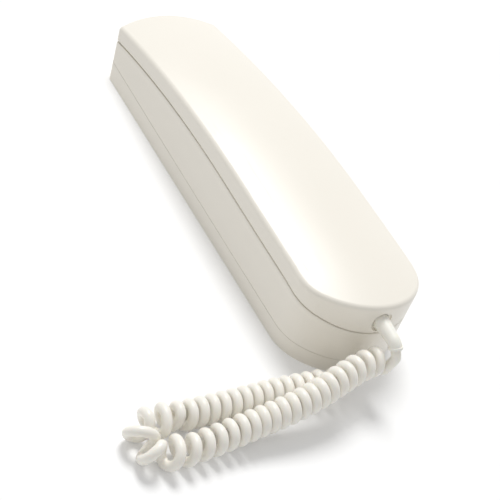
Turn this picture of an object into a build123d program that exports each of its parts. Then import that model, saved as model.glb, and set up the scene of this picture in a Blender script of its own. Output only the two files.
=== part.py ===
"""Audio intercom handset hung on its slim wall base, with its curly cord.

Millimetres, +Z up. The part lies on its wall plate: z = 0 is the flat rear face that goes
against the wall, +Y is the ear end, -Y the cord end, and the origin is the middle of the base.
"""
import math
import os
from collections import namedtuple

from build123d import *

# Cuts run past the faces that they open by this much
OVERRUN = 1.0

# Forms that cut or bound the body are larger than it by this share
OVERREACH_SHARE = 1.4

# A face whose normal rises by more than this share is a top, and the others are walls
TOP_FACE_SHARE = 0.75

# Depths: the base up to the flat of the seam, and the handset above it
SEAM_HEIGHT = 28.2
HANDSET_DEPTH = 13.9
BODY_DEPTH = SEAM_HEIGHT + HANDSET_DEPTH

# Body outline at the wall: straight sides, round cord end, shallow arch at the ear end
REAR_HALF_WIDTH = 32.7
REAR_CORD_END = 110.0
REAR_EAR_END = 96.8
REAR_EAR_ARCH_RADIUS = 130.0

# Body outline at the front, which is drafted in at the sides and the cord end, leans out over
# the wall at the ear end, and narrows toward it
FRONT_PLAN_RISE = 0.5
SIDE_DRAFT = 0.2
CORD_END_DRAFT = 2.8
EAR_END_LEAN = 24.0
FRONT_PLAN_HEIGHT = BODY_DEPTH + FRONT_PLAN_RISE
FRONT_HALF_WIDTH = REAR_HALF_WIDTH - SIDE_DRAFT
FRONT_CORD_END = REAR_CORD_END - CORD_END_DRAFT
FRONT_EAR_END = REAR_EAR_END + EAR_END_LEAN
FRONT_EAR_ARCH_RADIUS = 78.0
FRONT_SIDE_BOW_RADIUS = 2717.0

# Roundness of the cord end's arc and corners, as shares of the outline's half width
END_ARC_SHARE = 1.10
REAR_CORNER_SHARE = 0.688
FRONT_CORNER_SHARE = 0.615
EAR_CORNER_RADIUS = 2.5

# Seam between base and handset, seen from the side: flat, then falling to both ends
SEAM_GAP = 0.5
SEAM_FLAT_START = -69.3
SEAM_FLAT_END = -17.3
SEAM_CORD_END_RADIUS = 200.0
SEAM_EAR_END_RADIUS = 610.0

# Front face: bowed along the body and crowned across it
FACE_FLAT_START = -66.3
FACE_FLAT_END = -34.3
FACE_CORD_END_RADIUS = 427.0
FACE_EAR_END_RADIUS = 649.0
FACE_CROWN_RADIUS = 108.0
RIM_ROUND = 2.2
SEAM_ROUND = 0.6

# Moulded walls
WALL = 2.2
DECK = 2.0
PARTING_HEIGHT = 7.6
PARTING_GROOVE = 0.2
PLATE_FLOOR = 2.0
LIP_FIT = 0.15
LIP_WALL = 1.4
LIP_RISE = 2.0

# Ear cup of the handset and its well in the base
EAR_INSET = 27.8
EAR_CUP_RADIUS = 22.0
EAR_CUP_DROP = 12.9
EAR_Y = REAR_EAR_END - EAR_INSET
EAR_CUP_FLOOR = SEAM_HEIGHT - EAR_CUP_DROP
CUP_WALL = 2.0
CUP_ROUND = 1.5
WELL_CLEARANCE = 1.5
WELL_WALL = 1.6
WELL_SEAT_GAP = 0.3
EAR_HOLE_RADIUS = 1.2
EAR_HOLE_CIRCLE = 6.5
EAR_HOLES = 6

# Mouth cup of the handset and its well in the base
MOUTH_INSET = 35.0
MOUTH_CUP_RADIUS = 16.0
MOUTH_CUP_DROP = 4.5
MOUTH_Y = MOUTH_INSET - REAR_CORD_END
MOUTH_CUP_FLOOR = SEAM_HEIGHT - MOUTH_CUP_DROP
MOUTH_HOLE_RADIUS = 0.9
MOUTH_HOLE_SPACING = 3.0

# Receiver and microphone
EARPIECE_RADIUS = 17.6
EARPIECE_HEIGHT = 6.6
EARPIECE_STEP = 2.0
GASKET_HEIGHT = 1.0
GASKET_WIDTH = 3.5
MICROPHONE_RADIUS = 4.85
MICROPHONE_HEIGHT = 4.6
BOOT_WALL = 2.0
BOOT_ROOF = 1.2

# Self-tapping screws that hold the shells
SCREW_HEAD_RADIUS = 2.7
SCREW_HEAD_HEIGHT = 1.6
SCREW_SHANK_RADIUS = 1.4
SCREW_FIT = 0.05
SCREW_ENGAGEMENT = 5.0
SCREW_SEAT = 1.6
BOSS_RADIUS = 3.5
PAD_RADIUS = 4.5
HANDSET_SCREW_PLACES = (30.0, -52.0)
COUNTERBORE_FIT = 0.2

# Wall plate: wall screw holes on the centre line and the cable window
WALL_HOLE_SPACING = 120.0
WALL_HOLE_RADIUS = 2.25
WALL_HOLE_SINK_RADIUS = 4.2
WALL_HOLE_SINK_DEPTH = 1.0
CABLE_WINDOW_LENGTH = 14.0
CABLE_WINDOW_WIDTH = 24.0
CABLE_WINDOW_Y = 47.0
RIB_WALL = 1.2
RIB_HEIGHT = 2.5
RIB_PLACES = (-96.0, -64.0, 82.0)

# Circuit board on four posts, hung at its depth under the seam so that its parts meet the deck's
BOARD_LENGTH = 86.0
BOARD_WIDTH = 46.0
BOARD_WALL = 1.6
BOARD_DROP = 20.2
BOARD_HEIGHT = SEAM_HEIGHT - BOARD_DROP
BOARD_TOP = BOARD_HEIGHT + BOARD_WALL
BOARD_Y = -5.0
BOARD_CORNER_RADIUS = 2.0
POST_RADIUS = 2.6
POST_INSET = 3.6
BOARD_SCREW_SHANK_RADIUS = 1.0
BOARD_SCREW_HEAD_RADIUS = 2.0
BOARD_SCREW_HEAD_HEIGHT = 1.2
BOARD_SCREW_ENGAGEMENT = 4.0

# Parts on the board: their sizes, and their places from the board's middle
TERMINAL_LENGTH = 20.4
TERMINAL_DEPTH = 7.6
TERMINAL_HEIGHT = 9.6
TERMINAL_POLES = 4
TERMINAL_EDGE = 3.0
TERMINAL_SCREW_RADIUS = 1.8
TERMINAL_SCREW_HEIGHT = 2.0
TERMINAL_SLOT = 0.6
TERMINAL_SINK = 0.8
TERMINAL_ENTRY = 3.2
BUZZER_RADIUS = 6.0
BUZZER_HEIGHT = 8.5
BUZZER_HOLE_RADIUS = 1.0
BUZZER_HOLE_DEPTH = 2.8
BUZZER_PLACE = (-12.0, -8.0)
CAPACITOR_RADIUS = 3.2
CAPACITOR_HEIGHT = 9.0
CAPACITOR_SPACING = 8.0
CAPACITOR_PLACE = (14.5, -8.0)
CAPACITORS = 3
CHIP_LENGTH = 9.8
CHIP_WIDTH = 6.4
CHIP_HEIGHT = 3.4
CHIP_STANDOFF = 0.5
CHIP_LEG_WIDTH = 0.5
CHIP_LEG_REACH = 0.5
CHIP_LEG_SPACING = 2.54
CHIP_LEGS_PER_SIDE = 4
CHIP_PLACE = (-13.0, 26.0)

# Hook plunger, pressed down by the hung handset
HOOK_Y = -35.0
HOOK_RADIUS = 4.7
HOOK_FIT = 0.1
HOOK_TRAVEL = 4.0
HOOK_TOUCH_GAP = 0.3
HOOK_FLANGE_RADIUS = 6.3
HOOK_FLANGE_HEIGHT = 1.2
HOOK_GUIDE_WALL = 1.5
HOOK_GUIDE_HEIGHT = 2.0
HOOK_STOP_GAP = 0.2
HOOK_BORE_RADIUS = 3.4
HOOK_ROOF = 3.0
HOOK_DOME = 1.0
HOOK_POST_RADIUS = 3.2
HOOK_POST_RISE = 3.4
HOOK_POST_HEIGHT = BOARD_TOP + HOOK_POST_RISE
HOOK_SPIGOT_RADIUS = 1.9
HOOK_SPIGOT_HEIGHT = 2.0
HOOK_POST_CLEARANCE = 0.8

# Hook spring
SPRING_RADIUS = 2.65
SPRING_WIRE = 0.6
SPRING_TURNS = 5
SPRING_SEAT_GAP = 0.05

# Hook switch and its lever
SWITCH_LENGTH = 12.8
SWITCH_WIDTH = 5.8
SWITCH_HEIGHT = 6.5
SWITCH_CLEARANCE = 1.6
LEVER_WALL = 0.4
LEVER_WIDTH = 4.2
LEVER_BARREL_RADIUS = 0.6
LEVER_PIVOT_INSET = 1.6
LEVER_BARREL_GAP = 0.1
LEVER_TIP_GAP = 0.15
LEVER_POST_GAP = 0.9

# Door button in the deck, above its push switch
DOOR_Y = 8.0
DOOR_RADIUS = 6.5
DOOR_FIT = 0.1
DOOR_RECESS = 0.7
DOOR_TRAVEL = 1.0
DOOR_FLANGE_WIDTH = 1.3
DOOR_FLANGE_HEIGHT = 1.2
DOOR_GUIDE_WALL = 1.5
DOOR_GUIDE_HEIGHT = 1.8
DOOR_STOP_GAP = 0.2
DOOR_CAP_WALL = 1.4
DOOR_STEM_RADIUS = 1.8
PUSH_SWITCH_WIDTH = 6.0
PUSH_SWITCH_HEIGHT = 3.5
PUSH_STEM_RADIUS = 1.7
PUSH_STEM_RISE = 1.6
PUSH_STEM_SINK = 1.6
PUSH_STEM_FIT = 0.1
PUSH_TOUCH_GAP = 0.1

# Cord: wire, curls and leads
CORD_WIRE = 4.6
CORD_SIDES = 6
CURL_RADIUS = 4.5
CLOSE_PITCH = 5.35
PITCH_SHARES = (
    (0.00, 1.30), (0.06, 1.40), (0.11, 1.08), (0.16, 1.00), (0.30, 1.00), (0.36, 1.20), (0.42, 1.34),
    (0.455, 1.60), (0.48, 2.70), (0.565, 2.70), (0.59, 1.40), (0.63, 1.08), (0.82, 1.11), (1.00, 1.20),
)
STEPS_PER_TURN = 24
START_TURN_SHARE = 0.25
UNWIND_LENGTH = 18.0
UNWIND_STRETCH = 18.0
ROUTE_ARC_SHARE = 0.45
COIL_AXIS = (
    (-0.6, -119.0, 18.7), (-6.5, -119.3, 19.1), (-17.0, -122.1, 19.8), (-29.4, -126.5, 19.6),
    (-40.4, -129.6, 17.0), (-52.0, -132.0, 14.4), (-63.8, -133.2, 11.6), (-76.4, -134.5, 9.2),
    (-89.0, -136.8, 7.6), (-101.5, -139.0, 6.9), (-112.5, -139.9, 6.9), (-124.1, -139.8, 6.9),
    (-129.2, -134.7, 6.9), (-129.2, -127.8, 6.9), (-124.1, -123.0, 6.9), (-111.5, -123.2, 6.9),
    (-96.0, -122.3, 6.9), (-80.0, -121.0, 6.9), (-65.0, -119.6, 6.9), (-52.0, -118.6, 6.9),
    (-41.0, -118.3, 6.9), (-30.0, -118.1, 6.9), (-20.0, -118.1, 6.9), (-9.5, -118.8, 7.1),
)
HANDSET_EXIT = (0.0, -121.6, 29.1)
HANDSET_LEAD_RUN = 2.8
BASE_LEAD_RUN = 3.0
BASE_LEAD_BEND = (0.0, -114.3, 8.5)
BASE_EXIT = (0.0, -110.5, 8.5)

# Strain reliefs
RELIEF_DROP = 2.1
RELIEF_HEIGHT = HANDSET_EXIT[2] + RELIEF_DROP
RELIEF_ROOT_RADIUS = 4.0
RELIEF_TIP_RADIUS = 3.1
RELIEF_BEND_RADIUS = 4.0
RELIEF_RING_RADIUS = 3.45
RELIEF_RING_WIDTH = 1.1
RELIEF_FLANGE_RADIUS = 5.6
RELIEF_FLANGE_WIDTH = 1.6
RELIEF_FIT = 0.1
RELIEF_RECESS_RADIUS = 5.3
RELIEF_RECESS_DEPTH = 1.1
BASE_RELIEF_RADIUS = 3.4
BASE_RELIEF_FLANGE_RADIUS = 4.8
BASE_RELIEF_FLANGE_WIDTH = 1.4

BodyPlan = namedtuple("BodyPlan", "height half_width cord_end corner_radius ear_end arch_radius bow_radius")
REAR_PLAN = BodyPlan(0, REAR_HALF_WIDTH, REAR_CORD_END, REAR_HALF_WIDTH * REAR_CORNER_SHARE,
                     REAR_EAR_END, REAR_EAR_ARCH_RADIUS, None)
FRONT_PLAN = BodyPlan(FRONT_PLAN_HEIGHT, FRONT_HALF_WIDTH, FRONT_CORD_END, FRONT_HALF_WIDTH * FRONT_CORNER_SHARE,
                      FRONT_EAR_END, FRONT_EAR_ARCH_RADIUS, FRONT_SIDE_BOW_RADIUS)
REACH = FRONT_EAR_END + REAR_HALF_WIDTH / 2
WELL_FLOOR_TOP_EAR = EAR_CUP_FLOOR - WELL_SEAT_GAP
WELL_FLOOR_TOP_MOUTH = MOUTH_CUP_FLOOR - WELL_SEAT_GAP


# Body: outline, envelope, seam and front face

def outline(plan, inset):
    """The body's outline at one height, drawn in by inset."""
    half = plan.half_width - inset
    corner = plan.corner_radius - inset
    end_arc = plan.half_width * END_ARC_SHARE - inset
    bottom = inset - plan.cord_end
    corner_x = half - corner
    corner_drop = math.sqrt((end_arc - corner) ** 2 - corner_x ** 2)
    corner_y = bottom + end_arc - corner_drop
    stretch = end_arc / (end_arc - corner)
    knuckle = (corner_x * stretch, bottom + end_arc - corner_drop * stretch)
    arch = plan.arch_radius - inset
    arch_y = plan.ear_end - plan.arch_radius

    def side(y):
        if plan.bow_radius is None:
            return half
        centre = plan.half_width - plan.bow_radius
        return centre + math.sqrt((plan.bow_radius - inset) ** 2 - (y - corner_y) ** 2)

    ear_y = plan.ear_end
    for _ in range(STEPS_PER_TURN):
        ear_y = arch_y + math.sqrt(arch ** 2 - side(ear_y) ** 2)
    ear_corner = (side(ear_y), ear_y)
    middle_y = (ear_y + corner_y) / 2
    with BuildLine() as half_line:
        if plan.bow_radius is None:
            Line(ear_corner, (half, corner_y))
        else:
            ThreePointArc(ear_corner, (side(middle_y), middle_y), (half, corner_y))
        TangentArc((half, corner_y), knuckle, tangent=(0, -1))
        mirror(about=Plane.YZ)
        ThreePointArc(knuckle, (0, bottom), (-knuckle[0], knuckle[1]))
        ThreePointArc(ear_corner, (0, plan.ear_end - inset), (-ear_corner[0], ear_y))
    face = make_face(half_line.wires()[0])
    if inset < EAR_CORNER_RADIUS:
        face = fillet(face.vertices().sort_by(Axis.Y)[-2:], EAR_CORNER_RADIUS - inset)
    return Pos(0, 0, plan.height) * face


def envelope(inset=0):
    """The tapered body from the wall to above its front, drawn in by inset."""
    return loft([outline(REAR_PLAN, inset), outline(FRONT_PLAN, inset)], ruled=True)


def bowed_height(y, height, flat_start, flat_end, start_radius, end_radius):
    """Height at y of a profile that is flat in the middle and falls in an arc to each end."""
    if y < flat_start:
        return height - start_radius + math.sqrt(start_radius ** 2 - (y - flat_start) ** 2)
    if y > flat_end:
        return height - end_radius + math.sqrt(end_radius ** 2 - (y - flat_end) ** 2)
    return height


def bowed_line(height, flat_start, flat_end, start_radius, end_radius):
    """The same profile as lines in the current sketch plane."""
    ends = [bowed_height(y, height, flat_start, flat_end, start_radius, end_radius) for y in (-REACH, REACH)]
    TangentArc((flat_start, height), (-REACH, ends[0]), tangent=(-1, 0))
    Line((flat_start, height), (flat_end, height))
    TangentArc((flat_end, height), (REACH, ends[1]), tangent=(1, 0))
    return ends


def seam_height(y):
    return bowed_height(y, SEAM_HEIGHT, SEAM_FLAT_START, SEAM_FLAT_END, SEAM_CORD_END_RADIUS, SEAM_EAR_END_RADIUS)


def seam_side(offset, above):
    """All that lies above, or below, the seam moved by offset."""
    limit = BODY_DEPTH * 2 if above else -BODY_DEPTH
    with BuildLine(Plane.YZ) as profile:
        ends = bowed_line(SEAM_HEIGHT + offset, SEAM_FLAT_START, SEAM_FLAT_END,
                          SEAM_CORD_END_RADIUS, SEAM_EAR_END_RADIUS)
        Polyline((REACH, ends[1]), (REACH, limit), (-REACH, limit), (-REACH, ends[0]))
    return extrude(make_face(profile.wires()[0]), REAR_HALF_WIDTH * 2, both=True)


def under_face(inset=0):
    """All that lies under the front face, drawn in by inset."""
    with BuildLine(Plane.YZ) as profile:
        bowed_line(BODY_DEPTH - inset, FACE_FLAT_START, FACE_FLAT_END,
                   FACE_CORD_END_RADIUS - inset, FACE_EAR_END_RADIUS - inset)
    path = profile.wires()[0]
    crown = FACE_CROWN_RADIUS - inset
    half_span = REAR_HALF_WIDTH * OVERREACH_SHARE
    sag = crown - math.sqrt(crown ** 2 - half_span ** 2)
    plane = Plane(origin=path @ 0, x_dir=(1, 0, 0), z_dir=path % 0)
    up = math.copysign(1, plane.y_dir.Z)
    edge = -up * sag
    foot = -up * BODY_DEPTH * OVERREACH_SHARE
    with BuildLine() as section:
        ThreePointArc((-half_span, edge), (0, 0), (half_span, edge))
        Polyline((half_span, edge), (half_span, foot), (-half_span, foot), (-half_span, edge))
    return sweep(plane * make_face(section.wires()[0]), path=path)


def slab(low, high):
    """Everything between two heights."""
    return Pos(0, 0, (low + high) / 2) * Box(REACH * 2, REACH * 2, high - low)


def pillar(radius, low, high, x=0.0, y=0.0):
    """An upright cylinder between two heights."""
    return Pos(x, y, (low + high) / 2) * Cylinder(radius, high - low)


def barrel(radius, start, end, height):
    """A cylinder along Y on the centre plane, between two places, at one height."""
    return Pos(0, (start + end) / 2, height) * Rot(90, 0, 0) * Cylinder(radius, end - start)


def box_between(x0, x1, y0, y1, z0, z1):
    return Pos((x0 + x1) / 2, (y0 + y1) / 2, (z0 + z1) / 2) * Box(x1 - x0, y1 - y0, z1 - z0)


def end_wall(height):
    """Place along Y of the cord end's outer wall at one height, on the centre plane."""
    share = height / FRONT_PLAN_HEIGHT
    return -(REAR_CORD_END + (FRONT_CORD_END - REAR_CORD_END) * share)


def flange_seat(height, radius, wall):
    """Where a round flange clears the inside of the curved, tapered end wall."""
    bend = REAR_HALF_WIDTH * END_ARC_SHARE - wall
    return end_wall(height + radius) + wall + bend - math.sqrt(bend ** 2 - radius ** 2) + RELIEF_FIT


# Handset

def handset_block():
    return envelope() & seam_side(SEAM_GAP / 2, True) & under_face()


def outer_edges(shape, low, high):
    """Edges whose middle lies in a band of heights about the seam."""
    chosen = []
    for edge in shape.edges():
        middle = edge @ 0.5
        if low < middle.Z - seam_height(middle.Y) < high:
            chosen.append(edge)
    return chosen


def handset_front_shell():
    block = handset_block()
    faces = block.faces()
    tops = [face for face in faces if face.normal_at(face.center()).Z > TOP_FACE_SHARE]
    walls = [face for face in faces if abs(face.normal_at(face.center()).Z) < TOP_FACE_SHARE]
    wall_edges = [edge for wall in walls for edge in wall.edges()]
    rim = [edge for top in tops for edge in top.edges() if any(edge.is_same(other) for other in wall_edges)]
    block = fillet(rim, RIM_ROUND)
    block = fillet(outer_edges(block, 0, SEAM_GAP), SEAM_ROUND)
    shell = block - (envelope(WALL) & under_face(WALL))
    for y in HANDSET_SCREW_PLACES:
        low = seam_height(y) + SEAM_GAP / 2 + DECK + SCREW_SEAT
        boss = pillar(BOSS_RADIUS, low, BODY_DEPTH, y=y) & under_face(WALL / 2)
        shell += boss
        shell -= pillar(SCREW_SHANK_RADIUS + SCREW_FIT, low - OVERRUN, low + SCREW_ENGAGEMENT, y=y)
    wall = end_wall(RELIEF_HEIGHT)
    shell -= barrel(RELIEF_ROOT_RADIUS + RELIEF_FIT, wall - OVERRUN, wall + WALL * 2, RELIEF_HEIGHT)
    shell -= barrel(RELIEF_RECESS_RADIUS, wall - OVERRUN, wall + RELIEF_RECESS_DEPTH, RELIEF_HEIGHT)
    return shell


def cup(radius, floor, y, top):
    """The outside of a cup with a rounded foot."""
    body = pillar(radius, floor, top, y=y)
    return fillet(body.edges().sort_by(Axis.Z)[:1], CUP_ROUND)


def sound_holes():
    """Holes of the ear cup, a ring about one, and of the mouth cup, a short cross."""
    low = EAR_CUP_FLOOR - OVERRUN
    high = EAR_CUP_FLOOR + CUP_WALL + OVERRUN
    holes = [pillar(EAR_HOLE_RADIUS, low, high, y=EAR_Y)]
    for index in range(EAR_HOLES):
        angle = 2 * math.pi * index / EAR_HOLES
        holes.append(pillar(EAR_HOLE_RADIUS, low, high, x=EAR_HOLE_CIRCLE * math.cos(angle),
                            y=EAR_Y + EAR_HOLE_CIRCLE * math.sin(angle)))
    low = MOUTH_CUP_FLOOR - OVERRUN
    high = MOUTH_CUP_FLOOR + CUP_WALL + OVERRUN
    for across, along in ((0, 0), (1, 0), (-1, 0), (0, 1), (0, -1)):
        holes.append(pillar(MOUTH_HOLE_RADIUS, low, high, x=across * MOUTH_HOLE_SPACING,
                            y=MOUTH_Y + along * MOUTH_HOLE_SPACING))
    return holes


def handset_inner_shell():
    top = seam_side(SEAM_GAP / 2 + DECK, False)
    shell = envelope(WALL + LIP_FIT) & seam_side(SEAM_GAP / 2, True) & top
    shell += cup(EAR_CUP_RADIUS, EAR_CUP_FLOOR, EAR_Y, SEAM_HEIGHT) & top
    shell += cup(MOUTH_CUP_RADIUS, MOUTH_CUP_FLOOR, MOUTH_Y, BODY_DEPTH) & top
    shell -= pillar(EAR_CUP_RADIUS - CUP_WALL, EAR_CUP_FLOOR + CUP_WALL, BODY_DEPTH, y=EAR_Y)
    shell -= pillar(MOUTH_CUP_RADIUS - CUP_WALL, MOUTH_CUP_FLOOR + CUP_WALL, BODY_DEPTH, y=MOUTH_Y)
    for y in HANDSET_SCREW_PLACES:
        underside = seam_height(y) + SEAM_GAP / 2
        seat = underside + DECK
        shell += pillar(PAD_RADIUS, underside + DECK / 2, seat + SCREW_SEAT, y=y)
        shell -= pillar(SCREW_SHANK_RADIUS + SCREW_FIT, underside, seat + SCREW_SEAT + OVERRUN, y=y)
        shell -= pillar(SCREW_HEAD_RADIUS + COUNTERBORE_FIT, underside - OVERRUN, seat, y=y)
    for hole in sound_holes():
        shell -= hole
    flange = flange_seat(RELIEF_HEIGHT, RELIEF_FLANGE_RADIUS, WALL)
    return shell - barrel(RELIEF_FLANGE_RADIUS + LIP_FIT, flange - WALL * 2, flange + RELIEF_FLANGE_WIDTH + LIP_FIT,
                          RELIEF_HEIGHT)


def screw_up(y, seat, length):
    """A screw with its head under the seat and its shank going up."""
    return (pillar(SCREW_HEAD_RADIUS, seat - SCREW_HEAD_HEIGHT, seat, y=y)
            + pillar(SCREW_SHANK_RADIUS, seat, seat + length, y=y))


def handset_screws():
    return [screw_up(y, seam_height(y) + SEAM_GAP / 2 + DECK, SCREW_SEAT + SCREW_ENGAGEMENT - OVERRUN)
            for y in HANDSET_SCREW_PLACES]


def earpiece_gasket():
    low = EAR_CUP_FLOOR + CUP_WALL
    ring = pillar(EARPIECE_RADIUS, low, low + GASKET_HEIGHT, y=EAR_Y)
    return ring - pillar(EARPIECE_RADIUS - GASKET_WIDTH, low - OVERRUN, low + GASKET_HEIGHT + OVERRUN, y=EAR_Y)


def earpiece_capsule():
    low = EAR_CUP_FLOOR + CUP_WALL + GASKET_HEIGHT
    step = low + EARPIECE_STEP
    body = pillar(EARPIECE_RADIUS, low, step, y=EAR_Y)
    body += pillar(EARPIECE_RADIUS - GASKET_WIDTH, step, low + EARPIECE_HEIGHT, y=EAR_Y)
    return body


def microphone_boot():
    low = MOUTH_CUP_FLOOR + CUP_WALL
    top = low + MICROPHONE_HEIGHT + BOOT_ROOF
    body = pillar(MICROPHONE_RADIUS + BOOT_WALL, low, top, y=MOUTH_Y)
    return body - pillar(MICROPHONE_RADIUS, low - OVERRUN, low + MICROPHONE_HEIGHT, y=MOUTH_Y)


def microphone_capsule():
    low = MOUTH_CUP_FLOOR + CUP_WALL
    return pillar(MICROPHONE_RADIUS, low, low + MICROPHONE_HEIGHT, y=MOUTH_Y)


# Base

def well_screws():
    """Place along Y of each housing screw, with the height of its well's floor and of its boss's top."""
    return [(y, floor, floor - WELL_WALL - SCREW_SEAT)
            for y, floor in ((EAR_Y, WELL_FLOOR_TOP_EAR), (MOUTH_Y, WELL_FLOOR_TOP_MOUTH))]


def well_tube(radius, floor_top, y):
    return pillar(radius + WELL_WALL, floor_top - WELL_WALL, SEAM_HEIGHT, y=y)


def guide_tube(radius, wall, height, y):
    """A short tube under the deck that guides a plunger or a button."""
    under = seam_height(y) - SEAM_GAP / 2 - DECK
    return pillar(radius + wall, under - height, under + DECK / 2, y=y)


def base_housing():
    below_seam = seam_side(-SEAM_GAP / 2, False)
    block = envelope() & below_seam
    block = fillet(outer_edges(block, -SEAM_GAP, 0), SEAM_ROUND)
    block &= slab(PARTING_HEIGHT + PARTING_GROOVE / 2, BODY_DEPTH)
    shell = block - (envelope(WALL) & seam_side(-SEAM_GAP / 2 - DECK, False))
    ear_well = EAR_CUP_RADIUS + WELL_CLEARANCE
    mouth_well = MOUTH_CUP_RADIUS + WELL_CLEARANCE
    added = well_tube(ear_well, WELL_FLOOR_TOP_EAR, EAR_Y)
    added += well_tube(mouth_well, WELL_FLOOR_TOP_MOUTH, MOUTH_Y)
    added += guide_tube(HOOK_RADIUS + HOOK_FIT, HOOK_GUIDE_WALL, HOOK_GUIDE_HEIGHT, HOOK_Y)
    added += guide_tube(DOOR_RADIUS + DOOR_FIT, DOOR_GUIDE_WALL, DOOR_GUIDE_HEIGHT, DOOR_Y)
    shell += added & seam_side(-SEAM_GAP / 2 - DECK / 2, False)
    shell -= pillar(ear_well, WELL_FLOOR_TOP_EAR, BODY_DEPTH, y=EAR_Y)
    shell -= pillar(mouth_well, WELL_FLOOR_TOP_MOUTH, BODY_DEPTH, y=MOUTH_Y)
    shell -= pillar(HOOK_RADIUS + HOOK_FIT, BOARD_TOP, BODY_DEPTH, y=HOOK_Y)
    shell -= pillar(DOOR_RADIUS + DOOR_FIT, BOARD_TOP, BODY_DEPTH, y=DOOR_Y)
    for y, floor, boss_top in well_screws():
        shell += pillar(PAD_RADIUS, boss_top, floor - WELL_WALL / 2, y=y)
        shell -= pillar(SCREW_SHANK_RADIUS + SCREW_FIT, boss_top - OVERRUN, floor, y=y)
        shell -= pillar(SCREW_HEAD_RADIUS + COUNTERBORE_FIT, floor - SCREW_HEAD_HEIGHT, floor + OVERRUN, y=y)
    return shell - relief_hole()


def relief_hole():
    wall = end_wall(BASE_EXIT[2])
    return barrel(BASE_RELIEF_RADIUS + RELIEF_FIT, wall - WALL, wall + WALL * 2, BASE_EXIT[2])


def wall_plate():
    low_wall = slab(0, PARTING_HEIGHT - PARTING_GROOVE / 2)
    inside = envelope(WALL + LIP_FIT + LIP_WALL)
    plate = (envelope() & low_wall) - (inside & slab(PLATE_FLOOR, BODY_DEPTH))
    lip = (envelope(WALL + LIP_FIT) - inside) & slab(PLATE_FLOOR, PARTING_HEIGHT + LIP_RISE)
    plate += lip
    for y in RIB_PLACES:
        rib = box_between(-REACH, REACH, y - RIB_WALL / 2, y + RIB_WALL / 2, PLATE_FLOOR / 2, PLATE_FLOOR + RIB_HEIGHT)
        plate += rib & envelope(WALL)
    for x, y in post_places():
        plate += pillar(POST_RADIUS, PLATE_FLOOR / 2, BOARD_HEIGHT, x, y)
        plate -= pillar(BOARD_SCREW_SHANK_RADIUS + SCREW_FIT, BOARD_TOP - BOARD_SCREW_ENGAGEMENT - OVERRUN,
                        BOARD_HEIGHT + OVERRUN, x, y)
    for y, _, top in well_screws():
        plate += pillar(BOSS_RADIUS, PLATE_FLOOR / 2, top, y=y)
        plate -= pillar(SCREW_SHANK_RADIUS + SCREW_FIT, top - SCREW_ENGAGEMENT, top + OVERRUN, y=y)
    plate += pillar(HOOK_POST_RADIUS, PLATE_FLOOR / 2, HOOK_POST_HEIGHT, y=HOOK_Y)
    plate += pillar(HOOK_SPIGOT_RADIUS, PLATE_FLOOR, HOOK_POST_HEIGHT + HOOK_SPIGOT_HEIGHT, y=HOOK_Y)
    for y in (WALL_HOLE_SPACING / 2, -WALL_HOLE_SPACING / 2):
        plate -= pillar(WALL_HOLE_RADIUS, -OVERRUN, PLATE_FLOOR + OVERRUN, y=y)
        plate -= pillar(WALL_HOLE_SINK_RADIUS, PLATE_FLOOR - WALL_HOLE_SINK_DEPTH, PLATE_FLOOR + OVERRUN, y=y)
    plate -= box_between(-CABLE_WINDOW_WIDTH / 2, CABLE_WINDOW_WIDTH / 2, CABLE_WINDOW_Y - CABLE_WINDOW_LENGTH / 2,
                         CABLE_WINDOW_Y + CABLE_WINDOW_LENGTH / 2, -OVERRUN, PLATE_FLOOR + OVERRUN)
    return plate - relief_hole()


def housing_screws():
    """Screws with their heads sunk in the well floors and their shanks down in the plate's bosses."""
    return [pillar(SCREW_HEAD_RADIUS, floor - SCREW_HEAD_HEIGHT, floor, y=y)
            + pillar(SCREW_SHANK_RADIUS, boss_top - SCREW_ENGAGEMENT + OVERRUN, floor - SCREW_HEAD_HEIGHT, y=y)
            for y, floor, boss_top in well_screws()]


# Circuit board and the parts on it

def post_places():
    half_width = BOARD_WIDTH / 2 - POST_INSET
    half_length = BOARD_LENGTH / 2 - POST_INSET
    return [(x, BOARD_Y + y) for x in (-half_width, half_width) for y in (-half_length, half_length)]


def circuit_board():
    board = Pos(0, BOARD_Y, BOARD_HEIGHT + BOARD_WALL / 2) * Box(BOARD_WIDTH, BOARD_LENGTH, BOARD_WALL)
    board = fillet(board.edges().filter_by(Axis.Z), BOARD_CORNER_RADIUS)
    for x, y in post_places():
        board -= pillar(BOARD_SCREW_SHANK_RADIUS + SCREW_FIT, BOARD_HEIGHT - OVERRUN, BOARD_TOP + OVERRUN, x, y)
    return board - pillar(HOOK_POST_RADIUS + HOOK_POST_CLEARANCE, BOARD_HEIGHT - OVERRUN, BOARD_TOP + OVERRUN,
                          y=HOOK_Y)


def board_screws():
    low = BOARD_TOP - BOARD_SCREW_ENGAGEMENT
    return [pillar(BOARD_SCREW_SHANK_RADIUS, low, BOARD_TOP, x, y)
            + pillar(BOARD_SCREW_HEAD_RADIUS, BOARD_TOP, BOARD_TOP + BOARD_SCREW_HEAD_HEIGHT, x, y)
            for x, y in post_places()]


def terminal_places():
    pitch = TERMINAL_LENGTH / TERMINAL_POLES
    y = BOARD_Y + BOARD_LENGTH / 2 - TERMINAL_EDGE - TERMINAL_DEPTH / 2
    return [(pitch * (index - (TERMINAL_POLES - 1) / 2), y) for index in range(TERMINAL_POLES)]


def terminal_block():
    top = BOARD_TOP + TERMINAL_HEIGHT
    y = terminal_places()[0][1]
    block = Pos(0, y, (BOARD_TOP + top) / 2) * Box(TERMINAL_LENGTH, TERMINAL_DEPTH, TERMINAL_HEIGHT)
    for x, _ in terminal_places():
        block -= pillar(TERMINAL_SCREW_RADIUS + SCREW_FIT, top - TERMINAL_SINK - TERMINAL_SCREW_HEIGHT, top + OVERRUN,
                        x, y)
        entry = Box(TERMINAL_ENTRY, TERMINAL_DEPTH, TERMINAL_ENTRY)
        block -= Pos(x, y + TERMINAL_DEPTH / 2, BOARD_TOP + TERMINAL_ENTRY) * entry
    return block


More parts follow.
